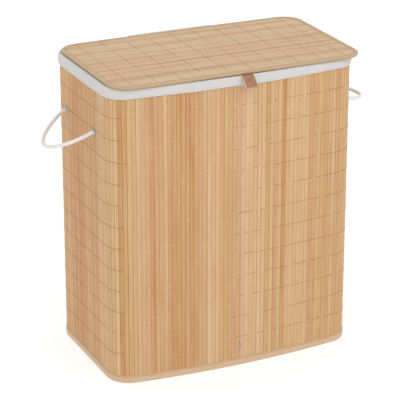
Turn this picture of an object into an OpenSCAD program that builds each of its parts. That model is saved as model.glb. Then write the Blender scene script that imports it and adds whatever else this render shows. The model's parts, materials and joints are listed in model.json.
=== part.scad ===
// Laundry hamper: a wall of upright bamboo slats on a cloth backing, a hanging cotton liner
// with a turned-down cuff, two rope handles and a flat slatted lid on a cloth hinge.
// Millimetres. X runs left to right seen from the front, the front is at -Y, +Z is up.
// The origin is the middle of the footprint, on the floor.

/* [Wall] */
// Width of the wall from side to side
wall_w = 532; // [440:2:600]
// Depth of the wall, measured between the ends of the front and back bows
wall_d = 310; // [290:2:380]
// Radius of the four upright corners
wall_corner = 48; // [44:1:60]
// How far the front and the back bow outwards
wall_bow = 14; // [4:1:20]
// Height of the wall with the tape on its two edges
wall_h = 616; // [560:1:640]
// Slats in a quarter of the way round
slats_per_quarter = 44; // [40:1:50]
// Thickness of a slat
slat_t = 1.8; // [1.2:0.1:2.4]
// Gap between one slat and the next
slat_gap = 0.4; // [0.2:0.1:0.8]
// Distance between two rows of weaving thread
thread_pitch = 45; // [40:1:60]

/* [Liner] */
// How far the liner hangs inside the wall's outer face
liner_inset = 18; // [16:0.5:24]
// Height of the cuff that turns down over the rim
cuff_h = 17.8; // [12:0.1:40]

/* [Lid] */
// Width of the lid
lid_w = 540; // [470:1:600]
// Depth of the lid
lid_d = 313; // [300:1:330]
// Radius of the lid's corners
lid_corner = 42; // [36:1:60]
// How far the lid sits to the right of the middle
lid_shift_x = 7; // [0:1:10]
// How far the lid sits behind the middle
lid_shift_y = -8; // [-8:1:0]
// Number of slats on the lid
lid_slats_n = 36; // [30:1:44]
// Width of the tape that binds the lid's edge
lid_tape_w = 10; // [8:0.5:14]

/* [Handles] */
// Diameter of the rope
rope_d = 7.5; // [6:0.5:8]
// Height of the eyelets
eyelet_z = 509; // [400:1:520]
// How far behind the middle the left handle sits
left_handle_y = 11; // [-20:1:20]
// How far behind the middle the right handle sits
right_handle_y = -10; // [-20:1:20]
// How far the left handle droops below level
left_droop = 29; // [0:1:40]
// How far the right handle droops below level
right_droop = 15; // [0:1:40]

/* [Pull tab] */
// Width of the leather pull tab
tab_w = 27; // [20:1:40]
// Length of its free flap
tab_len = 27; // [20:1:34]
// How far the flap points below level
tab_droop = 42; // [35:1:60]

/* [Hidden] */

$fn = 48;

// small gaps: round a pin or a barrel, and between layers that lie on each other
pin_gap = 0.05;
layer_gap = 0.02;
// room for the brace's flat face in the wall's bow
bow_gap = 0.05;

// cloth and tape
backing_t = 1;
tape_t = 0.6;
hem_h = 16;
hem_t = 0.9;
seam_w = 24;
seam_slat = 20;
liner_t = 0.8;
cuff_t = 1;
cuff_gap = 1;
rim_tape_h = 13;
leaf_t = 0.9;

// heights, from the floor up
mat_z0 = 0.8;
rim_z = wall_h;
mat_z1 = rim_z - tape_t;
cuff_z1 = rim_z + 1.8;
cuff_z0 = cuff_z1 - cuff_h;
lid_z0 = cuff_z1 + 1.2;
first_thread_z = 64;
thread_rows = floor((cuff_z0 - first_thread_z - 10) / thread_pitch) + 1;
thread_h = 0.9;
thread_t = 0.3;

// flat steel hoop inside the rim's tape
hoop_t = 1.2;
hoop_h = 8;
hoop_z = rim_z - 10.5;
hoop_inset = slat_t + backing_t + 0.1;

// base
base_inset = 4;
base_cover_t = 1;
base_h = 5;
brace_w = 22;
brace_t = 1.5;
brace_end_z = 54;
rivet_z = 41;
rivet_r = 2;
rivet_head_r = 4.4;
rivet_washer_r = 6;
rivet_washer_t = tape_t;
liner_floor_z = 8;

// eyelets and rope
eyelet_bore_r = rope_d / 2 + 0.5;
barrel_r = eyelet_bore_r + 0.9;
flange_r = eyelet_bore_r + 3.5;
washer_t = 0.8;
wall_t = slat_t + backing_t;
stub_out = 1.8;
pivot_out = stub_out + rope_d / 2 + 0.4;
// Half of a handle's rope, from its pivot to its middle: along the wall, and out from the pivot line
half_route = [[74, 0], [71, 12], [65, 26], [57, 41], [47, 54], [35, 66], [21, 75], [7, 80]];
n_route = len(half_route);
loop_route = [for (i = [0:2 * n_route - 1])
              i < n_route ? half_route[i] : [-half_route[2 * n_route - 1 - i].x,
                                             half_route[2 * n_route - 1 - i].y]];
rope_sides = 10;

// lid layers, from the lining up
lining_t = 0.6;
board_t = 3;
lid_slat_t = 1.6;
lid_slat_gap = 0.3;
lid_tape_t = 0.8;
lid_thread_t = 0.3;
lid_bow = 2;
lid_thread_n = 10;
board_z = lid_z0 + lining_t;
lid_slat_z = board_z + board_t;
lid_face_z = lid_slat_z + lid_slat_t;
lid_z1 = lid_face_z + lid_tape_t;

// cloth hinge along the top of the back
hinge_half_n = 10;
hinge_y = wall_d / 2 + wall_bow + 5.2;
leaf_down = 34;
hinge_reach = 34;

// leather tab
tab_t = 1.2;
tab_gap = 0.2;
tab_x = lid_shift_x + 4;
tab_y = -(wall_d / 2 + wall_bow + 3.7);
tab_z = lid_z0 - 0.6;
anchor_t = 0.9;
anchor_len = 18;

// A closed outline with bowed front and back, straight sides and round corners, as a list:
// the corner's centre (CX, CY) and radius, the bow's centre, radius and half angle,
// and the lengths of the half bow, of the corner and of the whole quarter
CX = 0;
CY = 1;
CORNER_R = 2;
BOW_Y = 3;
BOW_R = 4;
BOW_ANGLE = 5;
BOW_LEN = 6;
CORNER_LEN = 7;
QUARTER_LEN = 8;

function outline(w, d, r, bow) =
    let (a = w / 2 - r, b = d / 2 - r,
         bow_y = (a * a - bow * bow) / (2 * bow) - b,
         bow_r = bow_y + d / 2 + bow,
         alpha = atan(a / (bow_y + b)),
         bow_len = bow_r * alpha * PI / 180,
         corner_len = r * (90 - alpha) * PI / 180)
    [a, b, r, bow_y, bow_r, alpha, bow_len, corner_len, bow_len + corner_len + b];

// Point in the front right quarter at length t from the front's middle, moved outwards by off
function quarter_point(s, t, off) =
    let (past_bow = t - s[BOW_LEN], past_corner = past_bow - s[CORNER_LEN])
    past_bow < 0 ? let (q = t / s[BOW_R] * 180 / PI, r = s[BOW_R] + off)
                   [r * sin(q), s[BOW_Y] - r * cos(q)]
    : past_corner < 0 ? let (q = s[BOW_ANGLE] + past_bow / s[CORNER_R] * 180 / PI, r = s[CORNER_R] + off)
                   [s[CX] + r * sin(q), -s[CY] - r * cos(q)]
    : [s[CX] + s[CORNER_R] + off, -s[CY] + past_corner];

// Point number i of 4 * n around the outline, counter-clockwise from the front's middle
function edge_point(s, n, i, off) =
    let (k = (i + 4 * n) % (4 * n), quarter = floor(k / n), j = k - quarter * n)
    quarter == 0 ? quarter_point(s, s[QUARTER_LEN] * j / n, off)
    : quarter == 1 ? let (p = quarter_point(s, s[QUARTER_LEN] * (n - j) / n, off)) [p.x, -p.y]
    : quarter == 2 ? -quarter_point(s, s[QUARTER_LEN] * j / n, off)
    : let (p = quarter_point(s, s[QUARTER_LEN] * (n - j) / n, off)) [-p.x, p.y];

function ring_points(s, n, off) = [for (i = [0:4 * n - 1]) edge_point(s, n, i, off)];

wall = outline(wall_w, wall_d, wall_corner, wall_bow);
lid = outline(lid_w, lid_d, lid_corner, lid_bow);
wall_n = slats_per_quarter;
lid_n = 24;
// slat at the middle of a corner, counted from the front's middle
corner_slat = round((wall[BOW_LEN] + wall[CORNER_LEN] / 2) / wall[QUARTER_LEN] * wall_n);

module plate(s, n, off, z0, z1) {
    translate([0, 0, z0])
        linear_extrude(z1 - z0)
            polygon(ring_points(s, n, off));
}

module band(s, n, inner, outer, z0, z1) {
    translate([0, 0, z0])
        linear_extrude(z1 - z0)
            difference() {
                polygon(ring_points(s, n, outer));
                polygon(ring_points(s, n, inner));
            }
}

// Strip that follows the wall from point i0 to point i1
module wall_strip(i0, i1, inner, outer, z0, z1) {
    translate([0, 0, z0])
        linear_extrude(z1 - z0)
            polygon(concat([for (i = [i0:i1]) edge_point(wall, wall_n, i, outer)],
                           [for (i = [i1:-1:i0]) edge_point(wall, wall_n, i, inner)]));
}

// Stands a shape, drawn with its axis along +Z, on the outside of a side wall
module on_side(side, y, z) {
    translate([side * wall_w / 2, y, z])
        rotate([0, side * 90, 0])
            children();
}

module at_eyelets() {
    for (handle = [[-1, left_handle_y], [1, right_handle_y]])
        for (end = [-1, 1])
            on_side(handle[0], handle[1] + end * half_route[0].x, eyelet_z)
                children();
}

// Stands a shape on the middle of the front and of the back, at the rivets
module at_rivets() {
    for (face = [-1, 1])
        translate([0, face * (wall_d / 2 + wall_bow), rivet_z])
            rotate([-face * 90, 0, 0])
                children();
}

module through_hole(r) {
    translate([0, 0, -wall_t - 10])
        cylinder(h = wall_t + 20, r = r);
}

// ---- wall ----

module slat(i) {
    p = edge_point(wall, wall_n, i, -slat_t);
    q = edge_point(wall, wall_n, i + 1, -slat_t);
    along = (q - p) / norm(q - p);
    out = [along.y, -along.x];
    a = p + along * slat_gap / 2;
    b = q - along * slat_gap / 2;
    translate([0, 0, mat_z0])
        linear_extrude(mat_z1 - mat_z0)
            polygon([a, a + out * slat_t, b + out * slat_t, b]);
}

module slats(first, last) {
    color("burlywood")
        difference() {
            for (i = [first:last - 1])
                slat(i);
            at_eyelets() through_hole(barrel_r + pin_gap);
            at_rivets() through_hole(rivet_r + pin_gap);
        }
}

module front_slats() {
    slats(-corner_slat, corner_slat);
}

module back_slats() {
    slats(2 * wall_n - corner_slat, 2 * wall_n + corner_slat);
}

module left_slats() {
    slats(2 * wall_n + corner_slat, 4 * wall_n - corner_slat);
}

module right_slats() {
    slats(corner_slat, 2 * wall_n - corner_slat);
}

module wall_threads() {
    color("saddlebrown")
        difference() {
            for (row = [0:thread_rows - 1]) {
                z = first_thread_z + row * thread_pitch;
                band(wall, wall_n, layer_gap, thread_t, z - thread_h / 2, z + thread_h / 2);
            }
            at_eyelets() through_hole(flange_r + 0.5);
        }
}

module wall_backing() {
    color("tan")
        difference() {
            band(wall, wall_n, -wall_t, -slat_t, mat_z0, mat_z1);
            at_eyelets() through_hole(barrel_r + pin_gap);
            at_rivets() through_hole(rivet_r + pin_gap);
        }
}

// Closes the mat's two ends, on the inside of the back, towards the left
module back_seam_tape() {
    seam_i = 2 * wall_n + seam_slat;
    seam_n = round(seam_w / 2 / wall[QUARTER_LEN] * wall_n);
    color("tan")
        wall_strip(seam_i - seam_n, seam_i + seam_n, -wall_t - tape_t, -wall_t,
                   hem_h + 1, rim_z - rim_tape_h - 1);
}

module top_edge_tape() {
    inner = -hoop_inset - hoop_t - 0.1;
    color("wheat")
        difference() {
            band(wall, wall_n, inner - tape_t, tape_t, rim_z - rim_tape_h, rim_z);
            band(wall, wall_n, inner, layer_gap, rim_z - rim_tape_h - 1, rim_z - tape_t);
        }
}

module bottom_hem_tape() {
    color("wheat")
        difference() {
            band(wall, wall_n, -wall_t - tape_t, hem_t, 0, hem_h);
            band(wall, wall_n, -wall_t, layer_gap, mat_z0, hem_h + 1);
        }
}

module rim_hoop() {
    color("silver")
        band(wall, wall_n, -hoop_inset - hoop_t, -hoop_inset, hoop_z, hoop_z + hoop_h);
}

// ---- base ----

module base_board() {
    color("peru")
        plate(wall, wall_n, -base_inset - base_cover_t, base_cover_t, base_h - base_cover_t);
}

module base_cover() {
    color("tan")
        difference() {
            plate(wall, wall_n, -base_inset, 0, base_h);
            plate(wall, wall_n, -base_inset - base_cover_t, base_cover_t, base_h - base_cover_t);
        }
}

// Flat bar across the base with both ends turned up the wall
module base_brace() {
    reach = wall_d / 2 + wall_bow - wall_t - tape_t - bow_gap;
    color("silver")
        difference() {
            union() {
                translate([-brace_w / 2, -reach, base_h])
                    cube([brace_w, 2 * reach, brace_t]);
                for (face = [-1, 1])
                    translate([-brace_w / 2, face * (reach - brace_t / 2) - brace_t / 2, base_h])
                        cube([brace_w, brace_t, brace_end_z - base_h]);
            }
            at_rivets() through_hole(rivet_r + pin_gap);
        }
}

module brace_rivets() {
    grip = wall_t + rivet_washer_t + bow_gap + brace_t;
    color("gray")
        at_rivets()
            rotate_extrude()
                polygon([[0, -grip - 1], [2.6, -grip - 1], [3.2, -grip], [rivet_r, -grip],
                         [rivet_r, 0], [rivet_head_r, 0], [rivet_head_r - 0.4, 0.8],
                         [rivet_head_r - 2, 1.5], [0, 1.7]]);
}

module ring_washer(r_in, r_out, t) {
    difference() {
        cylinder(h = t, r = r_out);
        translate([0, 0, -1])
            cylinder(h = t + 2, r = r_in);
    }
}

module rivet_washers() {
    color("silver")
        at_rivets()
            translate([0, 0, -wall_t - rivet_washer_t - layer_gap])
                ring_washer(rivet_r + pin_gap, rivet_washer_r, rivet_washer_t);
}

// ---- liner ----

module liner_bag() {
    color("ivory")
        difference() {
            plate(wall, wall_n, -liner_inset, liner_floor_z, cuff_z1 - cuff_t);
            plate(wall, wall_n, -liner_inset - liner_t, liner_floor_z + liner_t, cuff_z1 + 1);
        }
}

module liner_cuff() {
    color("ivory")
        difference() {
            band(wall, wall_n, -liner_inset - liner_t, cuff_gap + cuff_t, cuff_z0, cuff_z1);
            band(wall, wall_n, -liner_inset - liner_t - 1, cuff_gap, cuff_z0 - 1, cuff_z1 - cuff_t);
        }
}

// ---- handles ----

module eyelets() {
    inner = -wall_t - washer_t;
    color("dimgray")
        at_eyelets()
            rotate_extrude()
                polygon([[eyelet_bore_r, inner - 0.5], [barrel_r + 1.2, inner - 0.4],
                         [barrel_r + 1.2, inner], [barrel_r, inner], [barrel_r, 0],
                         [flange_r, 0], [flange_r - 0.6, 0.7], [eyelet_bore_r + 1.4, 1.2],
                         [eyelet_bore_r, 0.9]]);
}

module eyelet_washers() {
    color("silver")
        at_eyelets()
            translate([0, 0, -wall_t - washer_t])
                ring_washer(barrel_r + pin_gap, flange_r, washer_t);
}

// Point of a handle's rope in the hamper's frame
function rope_point(side, y, droop, p) =
    [side * (wall_w / 2 + pivot_out + p.y * cos(droop)), y + p.x, eyelet_z - p.y * sin(droop)];

function unit(v) = v / norm(v);

// Tube round a flat path with ball ends. flat is the normal of the plane that the path lies in.
module flat_tube(path, flat, r) {
    last = len(path) - 1;
    dirs = [for (i = [0:last]) unit(path[min(i + 1, last)] - path[max(i - 1, 0)])];
    cap = [[0.9, 0.43], [0.5, 0.86]];
    rings = concat(
        [for (c = cap) [path[0] - dirs[0] * r * c[0], dirs[0], r * c[1]]],
        [for (i = [0:last]) [path[i], dirs[i], r]],
        [for (i = [1, 0]) [path[last] + dirs[last] * r * cap[i][0], dirs[last], r * cap[i][1]]]);
    n = rope_sides;
    m = len(rings);
    points = [for (ring = rings) for (k = [0:n - 1])
              ring[0] + ring[2] * (cos(k * 360 / n) * flat + sin(k * 360 / n) * cross(ring[1], flat))];
    sides = [for (i = [0:m - 2]) for (k = [0:n - 1]) for (half = [0, 1])
             let (a = i * n + k, b = i * n + (k + 1) % n)
             half == 0 ? [a, b, b + n] : [a, b + n, a + n]];
    ends = [[for (k = [n - 1:-1:0]) k], [for (k = [0:n - 1]) (m - 1) * n + k]];
    polyhedron(points, concat(sides, ends));
}

module rope_handle(side, y, droop) {
    color("ivory")
        flat_tube([for (p = loop_route) rope_point(side, y, droop, p)],
                  [side * sin(droop), 0, cos(droop)], rope_d / 2);
}

module left_rope_handle() {
    rope_handle(-1, left_handle_y, left_droop);
}

module right_rope_handle() {
    rope_handle(1, right_handle_y, right_droop);
}

// The rope's two ends: each passes through its eyelet and is knotted on the inside
module rope_knots(side, y) {
    knot_x = -wall_t - washer_t - 0.6 - rope_d / 2;
    color("ivory")
        for (end = [-1, 1])
            on_side(side, y + end * half_route[0].x, eyelet_z) {
                translate([0, 0, knot_x - rope_d / 2 - 1])
                    cylinder(h = stub_out - knot_x + rope_d / 2 + 1, r = rope_d / 2);
                translate([0, 0, knot_x])
                    rotate_extrude()
                        translate([rope_d / 2, 0])
                            circle(rope_d / 2 - 0.2, $fn = 32);
            }
}

module left_rope_knots() {
    rope_knots(-1, left_handle_y);
}

module right_rope_knots() {
    rope_knots(1, right_handle_y);
}

// ---- hinge ----

module hinge_wall_leaf() {
    i0 = 2 * wall_n - hinge_half_n;
    i1 = 2 * wall_n + hinge_half_n;
    cuff_out = cuff_gap + cuff_t;
    color("white") {
        wall_strip(i0, i1, layer_gap, leaf_t, cuff_z0 - leaf_down, cuff_z0 - 1);
        wall_strip(i0, i1, layer_gap, cuff_out + leaf_t, cuff_z0 - 1, cuff_z0 - 0.1);
        wall_strip(i0, i1, cuff_out + layer_gap, cuff_out + leaf_t, cuff_z0 - 0.1, lid_z0 - 2);
    }
}

module hinge_lid_leaf() {
    half_w = edge_point(wall, wall_n, hinge_half_n, 0).x;
    color("white")
        translate([-half_w, hinge_y - 1 - hinge_reach, lid_z0 - leaf_t])
            cube([2 * half_w, hinge_reach, leaf_t]);
}

// ---- lid ----

module on_lid() {
    translate([lid_shift_x, lid_shift_y, 0])
        children();
}

// Half the lid's width at depth y, inside its edge by inset
function lid_half_w(y, inset) =
    let (over = max(abs(y) - lid[CY], 0), r = lid_corner - inset)
    lid[CX] + sqrt(max(r * r - over * over, 0));

module lid_slats() {
    inset = lid_tape_t + 0.4;
    half_d = lid_d / 2 - inset - 1;
    pitch = 2 * half_d / lid_slats_n;
    color("burlywood")
        on_lid()
            for (i = [0:lid_slats_n - 1]) {
                y0 = -half_d + i * pitch + lid_slat_gap / 2;
                y1 = y0 + pitch - lid_slat_gap;
                translate([0, 0, lid_slat_z])
                    linear_extrude(lid_slat_t)
                        polygon([[-lid_half_w(y0, inset), y0], [lid_half_w(y0, inset), y0],
                                 [lid_half_w(y1, inset), y1], [-lid_half_w(y1, inset), y1]]);
            }
}

module lid_threads() {
    span = lid_w - 2 * lid_corner;
    half_d = lid_d / 2 - lid_tape_w - 1;
    color("saddlebrown")
        on_lid()
            for (i = [0:lid_thread_n - 1])
                translate([-span / 2 + i * span / (lid_thread_n - 1) - thread_h / 2, -half_d, lid_face_z])
                    cube([thread_h, 2 * half_d, lid_thread_t]);
}

module lid_board() {
    color("peru")
        on_lid()
            plate(lid, lid_n, -lid_tape_t, board_z, lid_slat_z);
}

module lid_lining() {
    color("ivory")
        on_lid()
            plate(lid, lid_n, -lid_tape_w, lid_z0, board_z);
}

// Tape folded round the lid's edge, over the slats and under the board
module lid_binding() {
    color("wheat")
        on_lid()
            difference() {
                band(lid, lid_n, -lid_tape_w, 0, lid_z0, lid_z1);
                plate(lid, lid_n, -lid_tape_t, board_z, lid_face_z);
            }
}

// ---- pull tab ----

module tab_anchor() {
    color("sienna")
        translate([tab_x - tab_w / 2, tab_y + 0.9, lid_z0 - anchor_t])
            cube([tab_w, anchor_len, anchor_t]);
}

// Leather strip folded double at its lower end
module pull_tab() {
    half_t = tab_t + tab_gap / 2;
    color("sienna")
        translate([tab_x, tab_y, tab_z])
            rotate([tab_droop, 0, 0])
                rotate([0, -90, 0])
                    linear_extrude(tab_w, center = true)
                        difference() {
                            union() {
                                translate([-half_t, -tab_len + half_t])
                                    square([2 * half_t, tab_len - half_t - 1]);
                                translate([0, -tab_len + half_t])
                                    circle(half_t);
                            }
                            translate([-tab_gap / 2, -tab_len + half_t])
                                square([tab_gap, tab_len]);
                        }
}

front_slats();
back_slats();
left_slats();
right_slats();
wall_threads();
wall_backing();
back_seam_tape();
top_edge_tape();
bottom_hem_tape();
rim_hoop();
base_board();
base_cover();
base_brace();
brace_rivets();
rivet_washers();
liner_bag();
liner_cuff();
eyelets();
eyelet_washers();
left_rope_handle();
right_rope_handle();
left_rope_knots();
right_rope_knots();
hinge_wall_leaf();
hinge_lid_leaf();
lid_slats();
lid_threads();
lid_board();
lid_lining();
lid_binding();
tab_anchor();
pull_tab();
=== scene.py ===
"""Laundry hamper with lid: camera, rope handles, bamboo, cloth, leather, materials, floor and light.

Everything is in metres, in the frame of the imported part: +X right, -Y front, +Z up, origin on the floor.
"""

import json
import math
import random

import bmesh
import bpy
import numpy as np
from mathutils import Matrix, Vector


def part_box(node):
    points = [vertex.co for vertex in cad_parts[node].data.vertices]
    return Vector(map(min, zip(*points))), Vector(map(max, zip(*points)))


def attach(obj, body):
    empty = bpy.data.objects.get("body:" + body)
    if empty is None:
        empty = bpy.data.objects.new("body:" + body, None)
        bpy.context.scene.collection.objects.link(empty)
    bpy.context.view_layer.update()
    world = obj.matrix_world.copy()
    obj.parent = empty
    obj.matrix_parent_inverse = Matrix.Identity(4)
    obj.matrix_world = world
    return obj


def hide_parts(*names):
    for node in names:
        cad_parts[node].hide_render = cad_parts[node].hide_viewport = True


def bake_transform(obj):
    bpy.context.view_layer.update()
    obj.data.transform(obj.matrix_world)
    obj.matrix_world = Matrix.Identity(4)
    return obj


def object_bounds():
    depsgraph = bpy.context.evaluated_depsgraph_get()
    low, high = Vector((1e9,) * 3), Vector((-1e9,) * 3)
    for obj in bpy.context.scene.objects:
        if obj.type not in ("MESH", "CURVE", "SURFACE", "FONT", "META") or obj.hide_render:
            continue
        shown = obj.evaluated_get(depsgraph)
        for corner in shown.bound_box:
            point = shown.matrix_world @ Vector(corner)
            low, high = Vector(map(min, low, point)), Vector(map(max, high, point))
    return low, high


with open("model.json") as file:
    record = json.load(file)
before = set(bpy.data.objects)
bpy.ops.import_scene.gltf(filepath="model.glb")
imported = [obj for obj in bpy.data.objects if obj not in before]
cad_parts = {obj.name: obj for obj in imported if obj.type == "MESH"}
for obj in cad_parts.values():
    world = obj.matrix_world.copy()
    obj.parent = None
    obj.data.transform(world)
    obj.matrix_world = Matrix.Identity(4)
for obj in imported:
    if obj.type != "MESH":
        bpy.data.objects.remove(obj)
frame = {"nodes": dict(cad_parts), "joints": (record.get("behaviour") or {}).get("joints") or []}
cad_low, cad_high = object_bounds()
scene = bpy.context.scene


# ---- sizes

# camera
CAMERA_AIM_Z = 0.31
CAMERA_DISTANCE = 4.0
CAMERA_AZIMUTH = -25.27
CAMERA_ELEVATION = 21.35
CAMERA_YAW = -25.13
CAMERA_PITCH = 21.0
CAMERA_LENS = 174.8
CAMERA_SHIFT_Y = -0.04

# wall: the same numbers as the part's source
SLATS = 176
SLAT_T = 0.0018
SLAT_GAP = 0.0004
WALL_CORNER = 0.048
WALL_BOW = 0.014
BACKING_T = 0.001
THREAD_FIRST_Z = 0.064
THREAD_PITCH = 0.045
CORNER_SLAT = 28
HINGE_SLATS = 10
LINER_INSET = 0.018
CUFF_OUT = 0.002

# lid
LID_CORNER = 0.042
LID_BOW = 0.002
LID_SLATS = 36
LID_THREADS = 10
LID_TAPE_W = 0.010
LID_TAPE_T = 0.0008
LID_SLAT_T = 0.0016

# handles
ROPE_D = 0.0075
HALF_ROUTE = [(0.074, 0), (0.071, 0.012), (0.065, 0.026), (0.057, 0.041),
              (0.047, 0.054), (0.035, 0.066), (0.021, 0.075), (0.007, 0.080)]
LEFT_DROOP = 29
RIGHT_DROOP = 15
STRANDS = 16
BRAID_LAY = 0.0105

# tab
TAB_DROOP = 42
TAB_T = 0.0012

# stitches: each one's length, the gap after it, and its thickness
HEM_STITCH = (0.0032, 0.0007, 0.0010)
CUFF_STITCH = (0.0026, 0.0009, 0.0005)
BASE_STITCH = (0.0034, 0.0012, 0.0005)
TAPE_STITCH = (0.0028, 0.0009, 0.0006)

# the edges of folded tape and slats that are sharper than this, in degrees, are drawn as edges
TAPE_SHARP = 60
SLAT_SHARP = 40

# where the random numbers of each kind of piece start
SLAT_SEED = 1000
THREAD_SEED = 500
LID_SLAT_SEED = 3000
LID_THREAD_SEED = 700


# ---- outline

class Outline:
    """A closed outline with bowed front and back, straight sides and round corners.

    A place on it is its length t from the middle of the front, counter-clockwise seen from above.
    """

    def __init__(self, width, depth, corner, bow, centre=(0.0, 0.0)):
        self.a = width / 2 - corner
        self.b = depth / 2 - corner
        self.corner = corner
        self.bow_y = (self.a ** 2 - bow ** 2) / (2 * bow) - self.b
        self.bow_r = self.bow_y + depth / 2 + bow
        self.angle = math.atan2(self.a, self.bow_y + self.b)
        self.bow_len = self.bow_r * self.angle
        self.corner_len = corner * (math.pi / 2 - self.angle)
        self.quarter = self.bow_len + self.corner_len + self.b
        self.length = 4 * self.quarter
        self.centre = centre

    def at(self, t, out=0.0):
        """The points at lengths t, moved outwards by out."""
        t = np.mod(t, self.length)
        number = np.minimum((t // self.quarter).astype(int), 3)
        s = t - number * self.quarter
        s = np.where(number % 2 == 0, s, self.quarter - s)
        past_bow = s - self.bow_len
        bow_q = s / self.bow_r
        corner_q = self.angle + past_bow / self.corner
        where = [past_bow < 0, past_bow < self.corner_len]
        x = np.select(where, [(self.bow_r + out) * np.sin(bow_q),
                              self.a + (self.corner + out) * np.sin(corner_q)],
                      self.a + self.corner + out)
        y = np.select(where, [self.bow_y - (self.bow_r + out) * np.cos(bow_q),
                              -self.b - (self.corner + out) * np.cos(corner_q)],
                      -self.b + past_bow - self.corner_len)
        x = x * np.where(number < 2, 1, -1)
        y = y * np.where((number == 1) | (number == 2), -1, 1)
        return np.stack([x + self.centre[0], y + self.centre[1]], axis=-1)

    def out(self, t):
        """The outward direction at lengths t."""
        return self.at(t, 1.0) - self.at(t)

    def ring(self, t, out, z):
        """The points at lengths t, moved outwards by out, at height z."""
        return np.concatenate([self.at(t, out), np.broadcast_to(z, t.shape)[:, None]], axis=-1)


backing_low, backing_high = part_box("wall_backing")
wall = Outline(2 * (backing_high.x + SLAT_T), 2 * (backing_high.y + SLAT_T - WALL_BOW),
               WALL_CORNER, WALL_BOW)
SIDE_X = wall.a + wall.corner
MAT_Z0 = backing_low.z
MAT_Z1 = backing_high.z

binding_low, binding_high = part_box("lid_binding")
lid_centre = (binding_low + binding_high) / 2
lid = Outline(binding_high.x - binding_low.x, binding_high.y - binding_low.y - 2 * LID_BOW,
              LID_CORNER, LID_BOW, (lid_centre.x, lid_centre.y))
LID_Z0 = binding_low.z
LID_Z1 = binding_high.z
LID_FACE_Z = LID_Z1 - LID_TAPE_T


# ---- mesh tools

class Shape:
    """Gathers surfaces into one mesh, with a flat place, a tone, a seed and a mark at each corner."""

    def __init__(self):
        self.points = []
        self.faces = []
        self.flat = []
        self.values = {"tone": [], "seed": [], "mark": []}
        self.count = 0

    def surface(self, points, flat, closed=True, capped=False, tone=0.5, seed=0.0, mark=0.0):
        """points[i, j] is point j of ring i. flat has one more column than points where rings are closed."""
        points = np.asarray(points, float)
        rows, columns = points.shape[:2]
        spans = columns if closed else columns - 1
        i, j = np.meshgrid(np.arange(rows - 1), np.arange(spans), indexing="ij")
        i, j = i.ravel(), j.ravel()
        steps = [(0, 0), (0, 1), (1, 1), (1, 0)]
        corners = [(i + di) * columns + (j + dj) % columns for di, dj in steps]
        self.faces += (np.stack(corners, axis=-1) + self.count).tolist()
        self._take(flat, [(i + di, j + dj) for di, dj in steps], dict(tone=tone, seed=seed, mark=mark))
        if capped:
            for row in (0, rows - 1):
                self.faces.append([self.count + row * columns + k for k in range(columns)])
                ring = [(np.full(1, row), np.full(1, k)) for k in range(columns)]
                self._take(flat, ring, dict(tone=tone, seed=seed, mark=mark))
        self.points += points.reshape(-1, 3).tolist()
        self.count += rows * columns

    def _take(self, flat, corners, values):
        flat = np.asarray(flat, float)
        self.flat.append(np.stack([flat[a, b] for a, b in corners], axis=1).reshape(-1, 2))
        for name, value in values.items():
            value = np.broadcast_to(np.asarray(value, float), flat.shape[:2])
            self.values[name].append(np.stack([value[a, b] for a, b in corners], axis=1).ravel())

    def build(self, name, material, sharp):
        mesh = bpy.data.meshes.new(name)
        mesh.from_pydata(self.points, [], self.faces)
        uv = mesh.uv_layers.new(name="flat")
        uv.data.foreach_set("uv", np.concatenate(self.flat).astype(np.float32).ravel())
        for key, chunks in self.values.items():
            attribute = mesh.attributes.new(key, "FLOAT", "CORNER")
            attribute.data.foreach_set("value", np.concatenate(chunks).astype(np.float32))
        bm = bmesh.new()
        bm.from_mesh(mesh)
        bmesh.ops.recalc_face_normals(bm, faces=bm.faces)
        bm.to_mesh(mesh)
        bm.free()
        mesh.shade_smooth()
        mesh.set_sharp_from_angle(angle=math.radians(sharp))
        mesh.materials.append(material)
        piece = bpy.data.objects.new(name, mesh)
        scene.collection.objects.link(piece)
        return piece


def apply_modifiers(piece):
    """Turns a piece's modifiers into its mesh."""
    graph = bpy.context.evaluated_depsgraph_get()
    made = bpy.data.meshes.new_from_object(piece.evaluated_get(graph), depsgraph=graph)
    piece.modifiers.clear()
    piece.data = made


def thicken(piece, thickness, offset):
    """Gives a sheet its thickness: to both sides of its face where offset is 0, behind it where it is -1."""
    solid = piece.modifiers.new("thickness", "SOLIDIFY")
    solid.thickness = thickness
    solid.offset = offset
    solid.use_even_offset = True
    apply_modifiers(piece)


def weld(piece):
    """Joins points that lie on each other, where a closed strip meets itself."""
    bm = bmesh.new()
    bm.from_mesh(piece.data)
    bmesh.ops.remove_doubles(bm, verts=bm.verts, dist=1e-6)
    bmesh.ops.recalc_face_normals(bm, faces=bm.faces)
    bm.to_mesh(piece.data)
    bm.free()


def make_piece(shape, name, finish, body=None, nodes=(), sharp=180, welded=False, thickness=0.0,
               offset=0.0):
    """Builds a piece, and says what it replaces and the body that it rides on."""
    piece = shape.build(name, finish, sharp)
    if welded:
        weld(piece)
    if thickness:
        thicken(piece, thickness, offset)
    if nodes:
        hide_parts(*nodes)
    if body:
        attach(piece, body)
    return piece


def lengths(path):
    """The length along a path at each of its points."""
    return np.concatenate([[0], np.cumsum(np.linalg.norm(np.diff(path, axis=0), axis=1))])


def round_section(points):
    """The length round a closed section at each of its points, and at the first one again."""
    return lengths(np.vstack([points, points[:1]]))


def grid(across, down):
    """Flat places from two arrays that fit the same rows and columns."""
    return np.stack(np.broadcast_arrays(across, down), axis=-1)


def tube(path, side, up, radius, angles):
    """Rings of points round a path, where side and up are the directions across it."""
    turned = np.cos(angles)[None, :, None] * side[:, None] + np.sin(angles)[None, :, None] * up[:, None]
    return path[:, None] + radius * turned


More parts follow.
